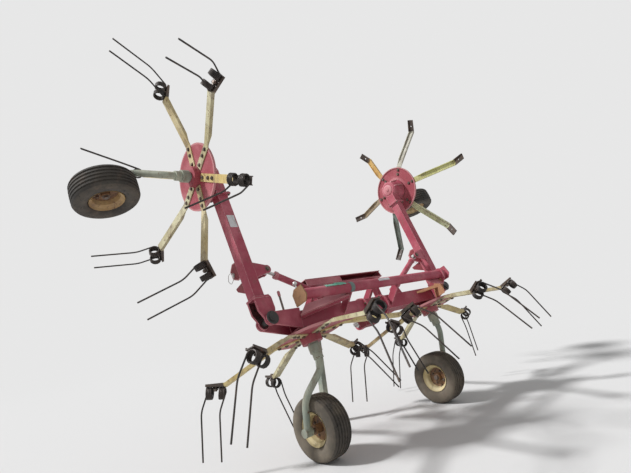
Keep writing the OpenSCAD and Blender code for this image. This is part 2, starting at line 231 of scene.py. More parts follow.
def worn(name, main, faded, chip, chips, fade=(0.35, 0.65), dirty=(0.52, 0.80), rough=(0.42, 0.75),
         metallic=0.0, bump=0.25, rotor=None, outer=None, edge=None):
    """Painted or rusty metal: two shades of paint, dirt in soft patches and chips down to what lies under it.
    With a rotor, outer gives the start, end and colour of a ring of another colour about its axis: the arms'
    dark seats, or a disc's lighter rim, partly worn and partly painted highlight.
    Edge is the lighter colour of the sharp edges: partly worn paint, partly painted highlight."""
    material, nodes, links = new_material(name)
    shader = nodes["Principled BSDF"]
    clouds = noise(nodes, links, 5, 6, 0.6)
    streaks = noise(nodes, links, 22, 5, 0.65, (1, 1, 0.35))
    grains = noise(nodes, links, 85, 9, 0.72)
    specks = noise(nodes, links, 38, 10, 0.78)
    colour = mixed(nodes, links, ramp(nodes, links, clouds, *fade), main, faded)
    if rotor:
        start, end, ring = outer
        colour = mixed(nodes, links, radius_mask(nodes, links, rotor, start, end), colour, ring)
    # sharp edges lighter: partly rubbed paint, partly painted highlight
    if edge:
        colour = mixed(nodes, links, edge_mask(nodes, links, grains), colour, edge)
    stain = scaled(nodes, links, ramp(nodes, links, streaks, *dirty), 0.55)
    colour = mixed(nodes, links, stain, colour, DIRT)
    chipped = ramp(nodes, links, specks, *chips)
    colour = mixed(nodes, links, chipped, colour, chip)
    links.new(colour, shader.inputs["Base Color"])
    shine = nodes.new("ShaderNodeMapRange")
    shine.inputs["From Min"].default_value = 0.3
    shine.inputs["From Max"].default_value = 0.7
    shine.inputs["To Min"].default_value = rough[0]
    shine.inputs["To Max"].default_value = rough[1]
    links.new(grains, shine.inputs["Value"])
    links.new(shine.outputs["Result"], shader.inputs["Roughness"])
    shader.inputs["Metallic"].default_value = metallic
    height = nodes.new("ShaderNodeMath")
    height.operation = "MULTIPLY_ADD"
    height.inputs[1].default_value = -0.8
    links.new(chipped, height.inputs[0])
    links.new(grains, height.inputs[2])
    relief = nodes.new("ShaderNodeBump")
    relief.inputs["Strength"].default_value = bump
    relief.inputs["Distance"].default_value = 0.0012
    links.new(height.outputs["Value"], relief.inputs["Height"])
    links.new(relief.outputs["Normal"], shader.inputs["Normal"])
    return material


DIRT = (0.16, 0.11, 0.08)
RUST = (0.13, 0.055, 0.028)
DARK_RUST = (0.045, 0.026, 0.018)
# name, two shades of the main colour, what shows in the chips and the noise levels between which it shows
# edge: the lighter colour of the sharp edges, partly rubbed paint and partly painted highlight
red_paint = worn("red_paint", (0.330, 0.040, 0.072), (0.475, 0.130, 0.165), RUST, (0.66, 0.71),
                 fade=(0.40, 0.70), edge=(0.66, 0.36, 0.37))
# a lighter copy of the red paint: faded paint on small parts, and painted sunlight on the brace
faded_and_sunlit_paint = worn("faded_and_sunlit_paint", (0.450, 0.125, 0.155), (0.560, 0.235, 0.255), RUST, (0.64, 0.70),
                   edge=(0.70, 0.43, 0.42))
# dark red paint, also laid as painted shade inside the top channel
dark_paint_and_shade = worn("dark_paint_and_shade", (0.170, 0.016, 0.024), (0.250, 0.034, 0.046), DARK_RUST, (0.60, 0.67),
                  edge=(0.50, 0.20, 0.21))
# near-black: painted shade on the inner faces of the fold forks
fork_shade = worn("fork_shade", (0.035, 0.017, 0.016), (0.110, 0.022, 0.026), (0.015, 0.012, 0.011),
                   (0.50, 0.60), rough=(0.35, 0.60))
leg_paint = worn("leg_paint", (0.205, 0.245, 0.205), (0.360, 0.375, 0.295), RUST, (0.58, 0.65),
                 dirty=(0.46, 0.70))
rim_paint = worn("rim_paint", (0.58, 0.47, 0.24), (0.70, 0.61, 0.38), RUST, (0.60, 0.67), dirty=(0.50, 0.75))
wing_rim_paint = worn("wing_rim_paint", (0.36, 0.22, 0.095), (0.50, 0.36, 0.18), RUST, (0.55, 0.64),
                      dirty=(0.46, 0.70))
hub_rust = worn("hub_rust", (0.17, 0.085, 0.042), (0.26, 0.15, 0.080), DARK_RUST, (0.50, 0.62), bump=0.5)
tine_steel = worn("tine_steel", (0.022, 0.019, 0.018), (0.050, 0.038, 0.032), (0.12, 0.060, 0.032),
                  (0.60, 0.70), metallic=0.35, rough=(0.42, 0.70), bump=0.35)
bright_steel = worn("bright_steel", (0.42, 0.41, 0.40), (0.55, 0.54, 0.52), RUST, (0.60, 0.70),
                    metallic=0.8, rough=(0.25, 0.50), bump=0.12)
bolt_steel = worn("bolt_steel", (0.10, 0.080, 0.068), (0.22, 0.185, 0.155), RUST, (0.50, 0.62), metallic=0.5,
                  rough=(0.40, 0.65))
rusty_steel = worn("rusty_steel", (0.210, 0.105, 0.050), (0.310, 0.175, 0.090), DARK_RUST, (0.56, 0.66),
                   rough=(0.65, 0.90), bump=0.45)
ground_rubber = worn("ground_rubber", (0.078, 0.067, 0.053), (0.165, 0.138, 0.104), (0.034, 0.030, 0.026),
                     (0.58, 0.74), rough=(0.75, 0.95), bump=0.5)
wing_rubber = worn("wing_rubber", (0.036, 0.031, 0.027), (0.085, 0.070, 0.054), (0.014, 0.013, 0.012),
                   (0.54, 0.66), rough=(0.65, 0.90), bump=0.5)
tread_rubber = worn("tread_rubber", (0.052, 0.045, 0.038), (0.125, 0.104, 0.078), (0.018, 0.016, 0.015),
                    (0.52, 0.64), rough=(0.75, 0.95), bump=0.5)
wing_tread = worn("wing_tread", (0.022, 0.020, 0.018), (0.050, 0.043, 0.035), (0.010, 0.010, 0.010),
                  (0.54, 0.66), rough=(0.65, 0.90), bump=0.5)
green_tape = worn("green_tape", (0.14, 0.50, 0.36), (0.28, 0.62, 0.48), (0.08, 0.26, 0.20), (0.66, 0.72),
                  rough=(0.30, 0.50), bump=0.3)
teal_tape = worn("teal_tape", (0.135, 0.195, 0.185), (0.22, 0.28, 0.26), (0.08, 0.10, 0.10), (0.60, 0.70))
label_white = worn("label_white", (0.56, 0.56, 0.58), (0.68, 0.68, 0.69), (0.30, 0.27, 0.28), (0.60, 0.70))
greasy_steel = worn("greasy_steel", (0.020, 0.019, 0.020), (0.046, 0.043, 0.042), (0.09, 0.072, 0.055),
                    (0.62, 0.72), rough=(0.45, 0.70))
tan_rust = worn("tan_rust", (0.38, 0.19, 0.095), (0.52, 0.30, 0.165), DARK_RUST, (0.60, 0.70),
                rough=(0.65, 0.90), bump=0.45)
# Paint of each arm: the same cream, weathered differently, and more so on the wing that lost its tines, whose
# tones also hold painted light and shade: lighter and darker, bluer copies of the cream
ARM_TONES = [((0.46, 0.36, 0.17), (0.62, 0.54, 0.33)), ((0.40, 0.35, 0.19), (0.56, 0.53, 0.35)),
             ((0.50, 0.37, 0.13), (0.64, 0.53, 0.26))]
OLD_LIT_AND_SHADED_TONES = [((0.40, 0.41, 0.23), (0.58, 0.60, 0.40)), ((0.13, 0.17, 0.145), (0.25, 0.29, 0.25)),
             ((0.20, 0.145, 0.080), (0.33, 0.26, 0.16)), ((0.42, 0.24, 0.050), (0.52, 0.34, 0.100)),
             ((0.34, 0.33, 0.26), (0.50, 0.49, 0.41)), ((0.44, 0.43, 0.16), (0.60, 0.60, 0.30))]
# Start, end and colour of the dark seats at the arms' ends and of the lighter rim of a disc, partly rubbed
# paint and partly painted highlight
SEAT = (0.550, 0.562, (0.050, 0.036, 0.028))
RIM_WEAR_AND_HIGHLIGHT = (0.198, 0.206, (0.46, 0.185, 0.195))


def arm_paints(name, rotor, tones):
    return [worn(f"arm_paint_{name}_{i}", *tone, RUST, (0.56, 0.64), dirty=(0.44, 0.68),
                 rotor=rotor, outer=SEAT)
            for i, tone in enumerate(tones)]


def disc_paint(name, rotor):
    return worn("disc_paint_" + name, (0.290, 0.040, 0.058), (0.430, 0.125, 0.145), DARK_RUST,
                (0.61, 0.67), fade=(0.38, 0.66), rotor=rotor, outer=RIM_WEAR_AND_HIGHLIGHT)


# Mesh building
SHARP = math.radians(32)


class Batch:
    """Collects transformed pieces that become one joined mesh."""

    def __init__(self):
        self.points = []
        self.faces = []
        self.smooth = []
        self.finish = []

    def add(self, shape, matrix, smooth=False, finish=0):
        points, faces = shape
        start = len(self.points)
        self.points += [matrix @ Vector(p) for p in points]
        flip = matrix.determinant() < 0
        for face in faces:
            face = [start + i for i in face]
            self.faces.append(face[::-1] if flip else face)
            self.smooth.append(smooth)
            self.finish.append(finish)

    def make(self, name, body, materials, slot=None):
        mesh = bpy.data.meshes.new(name)
        mesh.from_pydata(self.points, [], self.faces)
        mesh.polygons.foreach_set("use_smooth", self.smooth)
        mesh.polygons.foreach_set("material_index", self.finish)
        for material in materials if isinstance(materials, list) else [materials]:
            mesh.materials.append(material)
        mesh.update()
        mesh.set_sharp_from_angle(angle=SHARP)
        piece = bpy.data.objects.new(name, mesh)
        bpy.context.scene.collection.objects.link(piece)
        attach(piece, body)
        return piece


def paint(name, materials, choose=lambda here: 0):
    """Gives a CAD node its finishes: choose takes a face's middle and returns which one it gets."""
    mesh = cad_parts[name].data
    mesh.materials.clear()
    for material in materials:
        mesh.materials.append(material)
    for polygon in mesh.polygons:
        polygon.material_index = choose(polygon.center)


def revolve(profile, count, closed=False):
    """Turns a list of (radius, height) about the z axis."""
    points = []
    for radius, height in profile:
        for i in range(count):
            a = 2 * math.pi * i / count
            points.append((radius * math.cos(a), radius * math.sin(a), height))
    rows = len(profile)
    faces = []
    for row in range(rows if closed else rows - 1):
        other = (row + 1) % rows
        for i in range(count):
            j = (i + 1) % count
            faces.append((row * count + i, row * count + j, other * count + j, other * count + i))
    if not closed:
        faces.append(tuple(range(count))[::-1])
        faces.append(tuple((rows - 1) * count + i for i in range(count)))
    return points, faces


def bolt_head(radius, height):
    """Hexagon head on a washer, with a chamfered crown, standing up from z 0."""
    washer = revolve([(radius * 1.35, 0), (radius * 1.35, radius * 0.2)], 16)
    head = revolve([(radius, radius * 0.2), (radius, height * 0.85), (radius * 0.82, height)], 6)
    points = washer[0] + head[0]
    faces = washer[1] + [tuple(len(washer[0]) + i for i in f) for f in head[1]]
    return points, faces


def slab(x, y, z):
    """Box centred on the origin with its upright edges cut off a little."""
    e = min(x, y) * 0.02
    outline = [(x / 2 - e, -y / 2), (x / 2, -y / 2 + e), (x / 2, y / 2 - e), (x / 2 - e, y / 2),
               (-x / 2 + e, y / 2), (-x / 2, y / 2 - e), (-x / 2, -y / 2 + e), (-x / 2 + e, -y / 2)]
    points = [(px, py, -z / 2) for px, py in outline] + [(px, py, z / 2) for px, py in outline]
    faces = [tuple(range(8))[::-1], tuple(range(8, 16))]
    faces += [(i, (i + 1) % 8, 8 + (i + 1) % 8, 8 + i) for i in range(8)]
    return points, faces


def arc(x, y, radius, start, end, steps):
    """Points round (x, y) from one angle to another, in degrees."""
    angles = [math.radians(start + (end - start) * k / steps) for k in range(steps + 1)]
    return [(x + radius * math.cos(a), y + radius * math.sin(a)) for a in angles]


def plate(outline, thick, holes=()):
    """Flat plate on its outline in x and y, with round holes (x, y, radius), centred on z 0."""
    loops = [outline] + [arc(x, y, r, 0, 345, 23) for x, y, r in holes]
    flat = [point for loop in loops for point in loop]
    count = len(flat)
    caps = tessellate_polygon([[Vector((x, y, 0)) for x, y in loop] for loop in loops])
    points = [(x, y, -thick / 2) for x, y in flat] + [(x, y, thick / 2) for x, y in flat]
    faces = []
    for cap in caps:
        a, b, c = (Vector((*flat[i], 0)) for i in cap)
        up = cap if (b - a).cross(c - a).z > 0 else cap[::-1]
        faces.append(tuple(i + count for i in up))
        faces.append(tuple(up[::-1]))
    start = 0
    for number, loop in enumerate(loops):
        area = sum(p[0] * q[1] - q[0] * p[1] for p, q in zip(loop, loop[1:] + loop[:1]))
        for i in range(len(loop)):
            a, b = start + i, start + (i + 1) % len(loop)
            side = (a, b, b + count, a + count)
            faces.append(side if (area > 0) == (number == 0) else side[::-1])
        start += len(loop)
    return points, faces


# Turns a plate's x and y into the machine's y and z, or into its x and z
ACROSS = Matrix(((0, 0, 1, 0), (1, 0, 0, 0), (0, 1, 0, 0), (0, 0, 0, 1)))
ALONG = turn(90, "X")


def swept(path, radius, sides=8):
    """Round wire along a list of points, with closed ends."""
    path = [Vector(p) for p in path]
    points = []
    faces = []
    normal = (path[1] - path[0]).orthogonal().normalized()
    for i, here in enumerate(path):
        ahead = path[min(i + 1, len(path) - 1)] - path[max(i - 1, 0)]
        ahead.normalize()
        normal = (normal - ahead * normal.dot(ahead)).normalized()
        across = ahead.cross(normal)
        for k in range(sides):
            a = 2 * math.pi * k / sides
            points.append(tuple(here + (normal * math.cos(a) + across * math.sin(a)) * radius))
    for i in range(len(path) - 1):
        for k in range(sides):
            n = (k + 1) % sides
            faces.append((i * sides + k, i * sides + n, (i + 1) * sides + n, (i + 1) * sides + k))
    faces.append(tuple(range(sides))[::-1])
    faces.append(tuple((len(path) - 1) * sides + k for k in range(sides)))
    return points, faces


def rounded(points, reach, steps=4):
    """A polyline with its inner corners turned into short curves."""
    points = [Vector(p) for p in points]
    path = [points[0]]
    for before, corner, after in zip(points, points[1:], points[2:]):
        start = corner + (before - corner).normalized() * min(reach, (before - corner).length * 0.4)
        end = corner + (after - corner).normalized() * min(reach, (after - corner).length * 0.4)
        for k in range(steps + 1):
            t = k / steps
            path.append(start * (1 - t) ** 2 + corner * 2 * t * (1 - t) + end * t * t)
    path.append(points[-1])
    return path


def facing(origin, along, upward):
    """Frame of a flat plate: its x runs along, its y leans to upward and its z faces out."""
    x = Vector(along).normalized()
    z = x.cross(Vector(upward)).normalized()
    y = z.cross(x)
    rows = [(x[i], y[i], z[i], origin[i]) for i in range(3)]
    return MACHINE @ Matrix((*rows, (0, 0, 0, 1)))


# Double tines: leg, coil, bridge, coil, leg from one wire
TURNS = 4
STEPS = 14
SEAT_FRAME = move(ARM_TIP_R, 0, -ARM_DROP) @ Matrix.Rotation(-SEAT_RISE, 4, "Y")


def coil(start, length, sweep):
    """Helix about the seat's x axis, from the bridge at its top and far end to the leg at its side."""
    radius = COIL_R - WIRE_R
    span = 2 * math.pi * TURNS + math.pi / 2 - math.asin(LEG_INSET / radius)
    count = TURNS * STEPS
    path = []
    for k in range(count + 1):
        t = k / count
        a = math.pi / 2 + span * t
        path.append((start + length * (1 - t), sweep * radius * math.cos(a),
                     radius * math.sin(a) - COIL_R - CONTACT))
    return path


def tine_wire(sweep, lean):
    """Points of one double tine in the rotor's frame with its arm along x."""
    mid = SEAT_LEN / 2
    inside = mid - COIL_GAP / 2 - COIL_LEN + WIRE_R
    outside = mid + COIL_GAP / 2 + WIRE_R
    length = COIL_LEN - 2 * WIRE_R
    near = [SEAT_FRAME @ Vector(p) for p in coil(inside, length, sweep)]
    far = [SEAT_FRAME @ Vector((2 * outside + length - x, y, z)) for x, y, z in coil(outside, length, sweep)]

    def leg(start):
        knee = start + Vector((KNEE[0], -sweep * KNEE[1], -KNEE[2]))
        tip = start + Vector((TIP[0], -sweep * (TIP[1] + lean), -TIP[2]))
        return rounded([start, knee, tip], 0.03)

    return leg(near[-1])[::-1] + near[::-1][1:] + far + leg(far[-1])[1:]


def add_tines(name, rotor, phase, sweep):
    batch = Batch()
    for i in range(ARMS):
        lean = random.uniform(-0.0005, 0.004)
        batch.add(swept(tine_wire(sweep, lean), WIRE_R), rotor @ turn(phase + ARM_STEP * i, "Z"), True)
    piece = batch.make("springs_" + name, "rotor_" + name, tine_steel, "tine_steel")
    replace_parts(piece, "tines_" + name)


for name, rotor, phase, sweep in ROTORS:
    if sweep:
        add_tines(name, rotor, phase, sweep)

# Bolts of the arms, through the disc, and of the tine seats
ARM_HEAD = bolt_head(0.0095, 0.0095)
ARM_NUT = bolt_head(0.0105, 0.011)
HEAD_RADII = (0.086, 0.150, 0.195)
NUT_RADII = (0.150, 0.188)
SEAT_BOLT = (SEAT_LEN / 2, 0.011)
CLAMP_LOW = -0.0158

for name, rotor, phase, sweep in ROTORS:
    bolts = Batch()
    for i in range(ARMS):
        arm = rotor @ turn(phase + ARM_STEP * i, "Z")
        for radius in HEAD_RADII:
            bolts.add(ARM_HEAD, arm @ move(radius, 0, ARM_LOW) @ turn(180, "X"))
        for radius in NUT_RADII:
            bolts.add(ARM_NUT, arm @ move(radius, 0, 0))
        if sweep:
            seat = arm @ SEAT_FRAME
            bolts.add(ARM_NUT, seat @ move(*SEAT_BOLT, ARM_WEB))
            bolts.add(ARM_HEAD, seat @ move(*SEAT_BOLT, CLAMP_LOW) @ turn(180, "X"))
    bolts.make("arm_bolts_" + name, "rotor_" + name, bolt_steel)

# Ribbed tyres about the wheel axle
GROOVES = (-0.044, -0.022, 0.0, 0.022, 0.044)
GROOVE_DEEP = 0.0055
TREAD_EDGE = TYRE_R - 0.0099
HUB_R = 0.071
WHEEL_BOLT_R = 0.048
HUB_FRONT = 0.0032
HUB_BACK = -0.0072
WHEEL_NUT = bolt_head(0.008, 0.010)
WHEEL_HEAD = bolt_head(0.008, 0.008)
VALVE = [(0.0045, 0), (0.0045, 0.022), (0.0030, 0.024), (0.0030, 0.030)]
VALVE_PLACE = move(0.062, 0, 0.003) @ turn(14, "Y")


def tyre_profile():
    """(radius, width) points from one bead over the tread to the other, then back inside the rim."""
    half = TYRE_W / 2
    shoulder = [(RIM_R + 0.0005, -0.052), (RIM_R + 0.006, -0.061), (RIM_R + 0.022, -0.0725),
                (TYRE_R - 0.046, -half), (TYRE_R - 0.030, -half + 0.0008), (TYRE_R - 0.019, -half + 0.0035),
                (TYRE_R - 0.010, -half + 0.010), (TYRE_R - 0.005, -half + 0.018)]
    points = list(shoulder)
    for y in GROOVES:
        crown = TYRE_R - 0.0002 - 0.0025 * (abs(y) / 0.05) ** 2
        points += [(crown, y - 0.0060), (crown - GROOVE_DEEP, y - 0.0036), (crown - GROOVE_DEEP, y + 0.0036),
                   (crown, y + 0.0060)]
    points += [(radius, -width) for radius, width in shoulder[::-1]]
    return points


def add_tyre(batch, wheel):
    """Revolves the profile as two strips, the walls first and the darker tread second."""
    points, faces = revolve(tyre_profile()[::-1], 88, closed=True)
    reach = [max(math.hypot(*points[i][:2]) for i in face) for face in faces]
    batch.add((points, [f for f, r in zip(faces, reach) if r <= TREAD_EDGE]), wheel, True, 0)
    batch.add((points, [f for f, r in zip(faces, reach) if r > TREAD_EDGE]), wheel, True, 1)


def mark_hub(name, paints, centre, axis):
    """Gives the dished middle of a CAD rim the second of its paints."""

    def choose(here):
        arm = here - centre
        return 1 if (arm - axis * arm.dot(axis)).length < HUB_R else 0

    paint("rim_" + name, paints, choose)


for name, rotor, _, _ in ROTORS:
    wheel = on_axle(rotor, 0)
    on_ground = name.startswith("inner")
    batch = Batch()
    add_tyre(batch, wheel)
    rubbers = [ground_rubber, tread_rubber] if on_ground else [wing_rubber, wing_tread]
    tyre = batch.make("tread_" + name, "wheel_" + name, rubbers, "tyre")
    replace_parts(tyre, "tyre_" + name)
    mark_hub(name, [rim_paint if on_ground else wing_rim_paint, hub_rust], wheel.translation,
             (wheel.to_3x3() @ Vector((0, 0, 1))).normalized())
    # wheel bolts round the hub on both sides, and the valve
    parts = Batch()
    for i in range(4):
        spot = wheel @ turn(45 + 90 * i, "Z")
        parts.add(WHEEL_NUT, spot @ move(WHEEL_BOLT_R, 0, HUB_FRONT))
        parts.add(WHEEL_HEAD, spot @ move(WHEEL_BOLT_R, 0, HUB_BACK) @ turn(180, "X"))
    parts.add(revolve(VALVE, 10), wheel @ VALVE_PLACE)
    parts.make("wheel_bolts_" + name, "wheel_" + name, bolt_steel)

# Ends of the stub axles, with washer and nut
STUB_END = 0.030

for side_name, side in SIDES.items():
    for body, rotor, label in (("frame", inner(side), "inner"), ("wing_" + side_name, wing(side), "wing")):
        cap = Batch()
        end = on_axle(rotor, STUB_END)
        cap.add(revolve([(0.021, 0.0005), (0.021, 0.003)], 20), end)
        cap.add(revolve([(0.0165, 0.003), (0.0165, 0.010), (0.0140, 0.012)], 6), end)
        cap.make(f"axle_nut_{label}_{side_name}", body, bolt_steel)

# Smooth wheel legs: spindle, collar, bent tube, axle boss and stub axle
SPINDLE = [(0.012, -0.130), (0.012, -0.150), (0.0285, -0.150), (SPINDLE_R, -0.1485), (SPINDLE_R, 0.012)]
COLLAR = [(SPINDLE_R, -0.112), (0.036, -0.112), (0.038, -0.110), (0.038, -0.064), (0.036, -0.062),
          (SPINDLE_R, -0.062)]
BOSS = [(STUB_R, -0.027), (0.0245, -0.027), (0.026, -0.0255), (0.026, 0.0255), (0.0245, 0.027),
        (STUB_R, 0.027)]
LEG_PATH = [(0, 0, -0.115), (0, 0, -0.195), (-LEG_OFF + 0.006, WHEEL_Y - 0.070, -WHEEL_DROP + 0.168),
            (-LEG_OFF, WHEEL_Y, -WHEEL_DROP)]


def add_leg(batch, rotor):
    axle = on_axle(rotor, -LEG_OFF)
    batch.add(revolve(SPINDLE, 32), rotor, True)
    batch.add(revolve(COLLAR, 32), rotor, True)
    batch.add(swept(rounded(LEG_PATH, 0.055, 8), LEG_R, 20), rotor, True)
    batch.add(revolve(BOSS, 24), axle, True)
    batch.add(revolve([(STUB_R, 0.0), (STUB_R, LEG_OFF + STUB_END)], 20), axle, True, 1)


legs = Batch()
for side in SIDES.values():
    add_leg(legs, inner(side))
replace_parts(legs.make("bent_legs", "frame", [leg_paint, bolt_steel], "leg_paint"), "wheel_legs")
for side_name, side in SIDES.items():
    legs = Batch()
    add_leg(legs, wing(side))
    leg = legs.make("bent_leg_" + side_name, "wing_" + side_name, [leg_paint, bolt_steel], "leg_paint")
    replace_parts(leg, "wing_leg_" + side_name)

# Supports of the upper tube: two straps, the right end plate and the flat brace on the left
REAR = -BEAM / 2
SUPPORT_THICK = 0.012
STRAPS_X = (-0.334, 0.156)
END_PLATE_X = 0.690
supports = Batch()
strap = [(REAR, SHAFT_Z - 0.030), (REAR, SHAFT_Z + 0.028), (UPPER_Y + 0.017, UPPER_Z + 0.022),
         (UPPER_Y - 0.015, UPPER_Z - 0.022)]
for x in STRAPS_X:
    supports.add(plate(strap, SUPPORT_THICK), MACHINE @ move(x, 0, 0) @ ACROSS)
end_plate = [(REAR - 0.012, SHAFT_Z - 0.058), (REAR - 0.012, SHAFT_Z + 0.050),
             (UPPER_Y + 0.042, UPPER_Z + 0.038)]
end_plate += arc(UPPER_Y - 0.012, UPPER_Z + 0.008, 0.032, 80, 190, 6)
end_plate += [(UPPER_Y - 0.038, UPPER_Z - 0.046), (REAR - 0.050, SHAFT_Z - 0.058)]
supports.add(plate(end_plate, SUPPORT_THICK), MACHINE @ move(END_PLATE_X, 0, 0) @ ACROSS)
brace_place = facing((-0.707, -0.075, 0.1045), (0.9676, -0.2179, 0.1279), (0.0727, 0.7250, 0.6849))
brace = [(0, 0), (0.384, 0), (0.384, 0.040), (0.362, 0.065), (0.093, 0.083)]
# the brace's plate takes the lighter paint as painted sunlight
supports.add(plate(brace, 0.008), brace_place, False, 1)
brace_rib = [(0.004, -0.004), (0.384, -0.004), (0.384, 0.004), (0.004, 0.004)]
supports.add(plate(brace_rib, 0.020), brace_place @ move(0, 0, -0.014))
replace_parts(supports.make("tube_supports", "frame", [red_paint, faded_and_sunlit_paint]), "tube_posts")

# Pieces beside the right end plate: a wedge under the tube in the lighter red paint, and a rusty bent bar and
# rusty inner face of the plate
BAR_HALF = 0.014
BAR_LAP = 0.001
bent = [(0.505, -0.0505, 0.118), (0.560, -0.0550, 0.116), (0.625, -0.0740, 0.120), (0.684, -0.1180, 0.116)]
wedge = [(0.030, 0.006), (0.176, 0.006), (0.176, -0.062), (0.062, -0.040)]
inner_face = [(-0.160, 0.040), (-0.072, 0.040), (-0.090, 0.120), (-0.128, 0.156), (-0.190, 0.150)]
gusset = Batch()
gusset.add(plate(wedge, 0.006), facing((0.508, -0.160, 0.160), (1, 0, 0), (0.25, 0.45, 0.90)), False, 1)
path = rounded(bent, 0.030, 6)
for before, after in zip(path, path[1:]):
    end = (after - before).length + BAR_LAP
    length = [(-BAR_LAP, -BAR_HALF), (end, -BAR_HALF), (end, BAR_HALF), (-BAR_LAP, BAR_HALF)]
    gusset.add(plate(length, 0.006), facing(before, after - before, (0, 0.55, 0.83)))
inner_face_x = END_PLATE_X - SUPPORT_THICK / 2 - 0.0008
gusset.add(plate(inner_face, 0.002), MACHINE @ move(inner_face_x, 0, 0) @ ACROSS)
gusset.make("rusty_gusset", "frame", [tan_rust, faded_and_sunlit_paint])

# Top beam: a channel open to the rear, with a cover plate over its left part and painted shade inside it:
# thin dark sheets on its back and walls
WALL = 0.005
# thickness of the thin dark sheets that paint shade inside the top channel and the fold forks
SHADE_SHEET = 0.001
PROUD = 0.0006
y0, y1, z0, z1 = TOP_Y, TOP_Y + TOP_DEEP, TOP_Z, TOP_Z + TOP_H
section = [(y0, z0), (y1, z0), (y1, z1), (y0, z1), (y0, z1 - WALL), (y1 - WALL, z1 - WALL),
           (y1 - WALL, z0 + WALL), (y0, z0 + WALL)]
cover = [(-TOP_HALF + 0.003, z0 + WALL), (-0.052, z0 + WALL), (-0.060, z1 - WALL),
         (-TOP_HALF + 0.003, z1 - WALL)]
shade_lining = [(-TOP_HALF + 0.001, z0 + WALL), (TOP_HALF - 0.001, z0 + WALL), (TOP_HALF - 0.001, z1 - WALL),
          (-TOP_HALF + 0.001, z1 - WALL)]
end_cap = [(y0 + 0.001, z0 + 0.001), (y1 - 0.001, z0 + 0.001), (y1 - 0.001, z1 - 0.001),
           (y0 + 0.012, z1 - 0.001)]
channel = Batch()
channel.add(plate(section, 2 * TOP_HALF), MACHINE @ ACROSS)
channel.add(plate(cover, 0.004), MACHINE @ move(0, y0 + 0.004, 0) @ ALONG, False, 2)
# painted shade: thin dark sheets on the channel's inner back and walls
channel.add(plate(shade_lining, SHADE_SHEET), MACHINE @ move(0, y1 - WALL - PROUD, 0) @ ALONG, False, 1)
channel.add(plate(end_cap, 0.005), MACHINE @ move(TOP_HALF - 0.003, 0, 0) @ ACROSS)
for z in (z0 + WALL + PROUD, z1 - WALL - PROUD):
    wall = MACHINE @ move(0, y0 + TOP_DEEP / 2, z)
    channel.add(slab(2 * TOP_HALF - 0.002, TOP_DEEP - 0.012, SHADE_SHEET), wall, False, 1)
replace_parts(channel.make("top_channel", "frame", [red_paint, dark_paint_and_shade, faded_and_sunlit_paint]), "crossbar")

# Fold hinges on the beam's ends with their lock levers, and the feet of the cylinders with their pins
PIN_HOLE_R = 0.0163
CLEVIS_Y = 0.056
CLEVIS_THICK = 0.012
FOOT_EAR_Y = 0.021
LEVER = (-0.790, -0.0430, 0.150)
foot_base = BEAM / 2 + SHAFT_Z - FOOT_Z
clevis = arc(-HINGE_X, HINGE_Z, 0.036, 90, 240, 14)
clevis += [(-BEAM_HALF + 0.008, SHAFT_Z - 0.058), (-BEAM_HALF + 0.034, SHAFT_Z + 0.066)]
foot_ear = [(-0.040, foot_base), (0.040, foot_base)] + arc(0, 0, 0.0235, -10, 190, 14)
lever_grip = [(0.0070, 0.100), (0.0088, 0.103), (0.0088, 0.128), (0.0060, 0.133)]
brackets = Batch()
for side in SIDES.values():
    here = on_side(side)
    foot = here @ move(-FOOT_X, 0, FOOT_Z)
    for y in (-CLEVIS_Y, CLEVIS_Y):
        cheek = plate(clevis, CLEVIS_THICK, [(-HINGE_X, HINGE_Z, PIN_HOLE_R)])
        brackets.add(cheek, here @ move(0, y, 0) @ ALONG)
    for y in (-FOOT_EAR_Y, FOOT_EAR_Y):
        brackets.add(plate(foot_ear, 0.010), foot @ move(0, y, 0) @ ALONG)
    brackets.add(revolve([(0.0120, -0.030), (0.0120, 0.030)], 24), foot @ ALONG, True, 1)
    lever = here @ move(*LEVER) @ turn(5, "Y")
    brackets.add(revolve([(0.0065, -0.020), (0.0065, 0.100)], 14), lever, True, 1)
    brackets.add(revolve(lever_grip, 16), lever, True, 2)
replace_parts(brackets.make("fold_hinges", "frame", [red_paint, bolt_steel, faded_and_sunlit_paint]), "hinge_brackets")

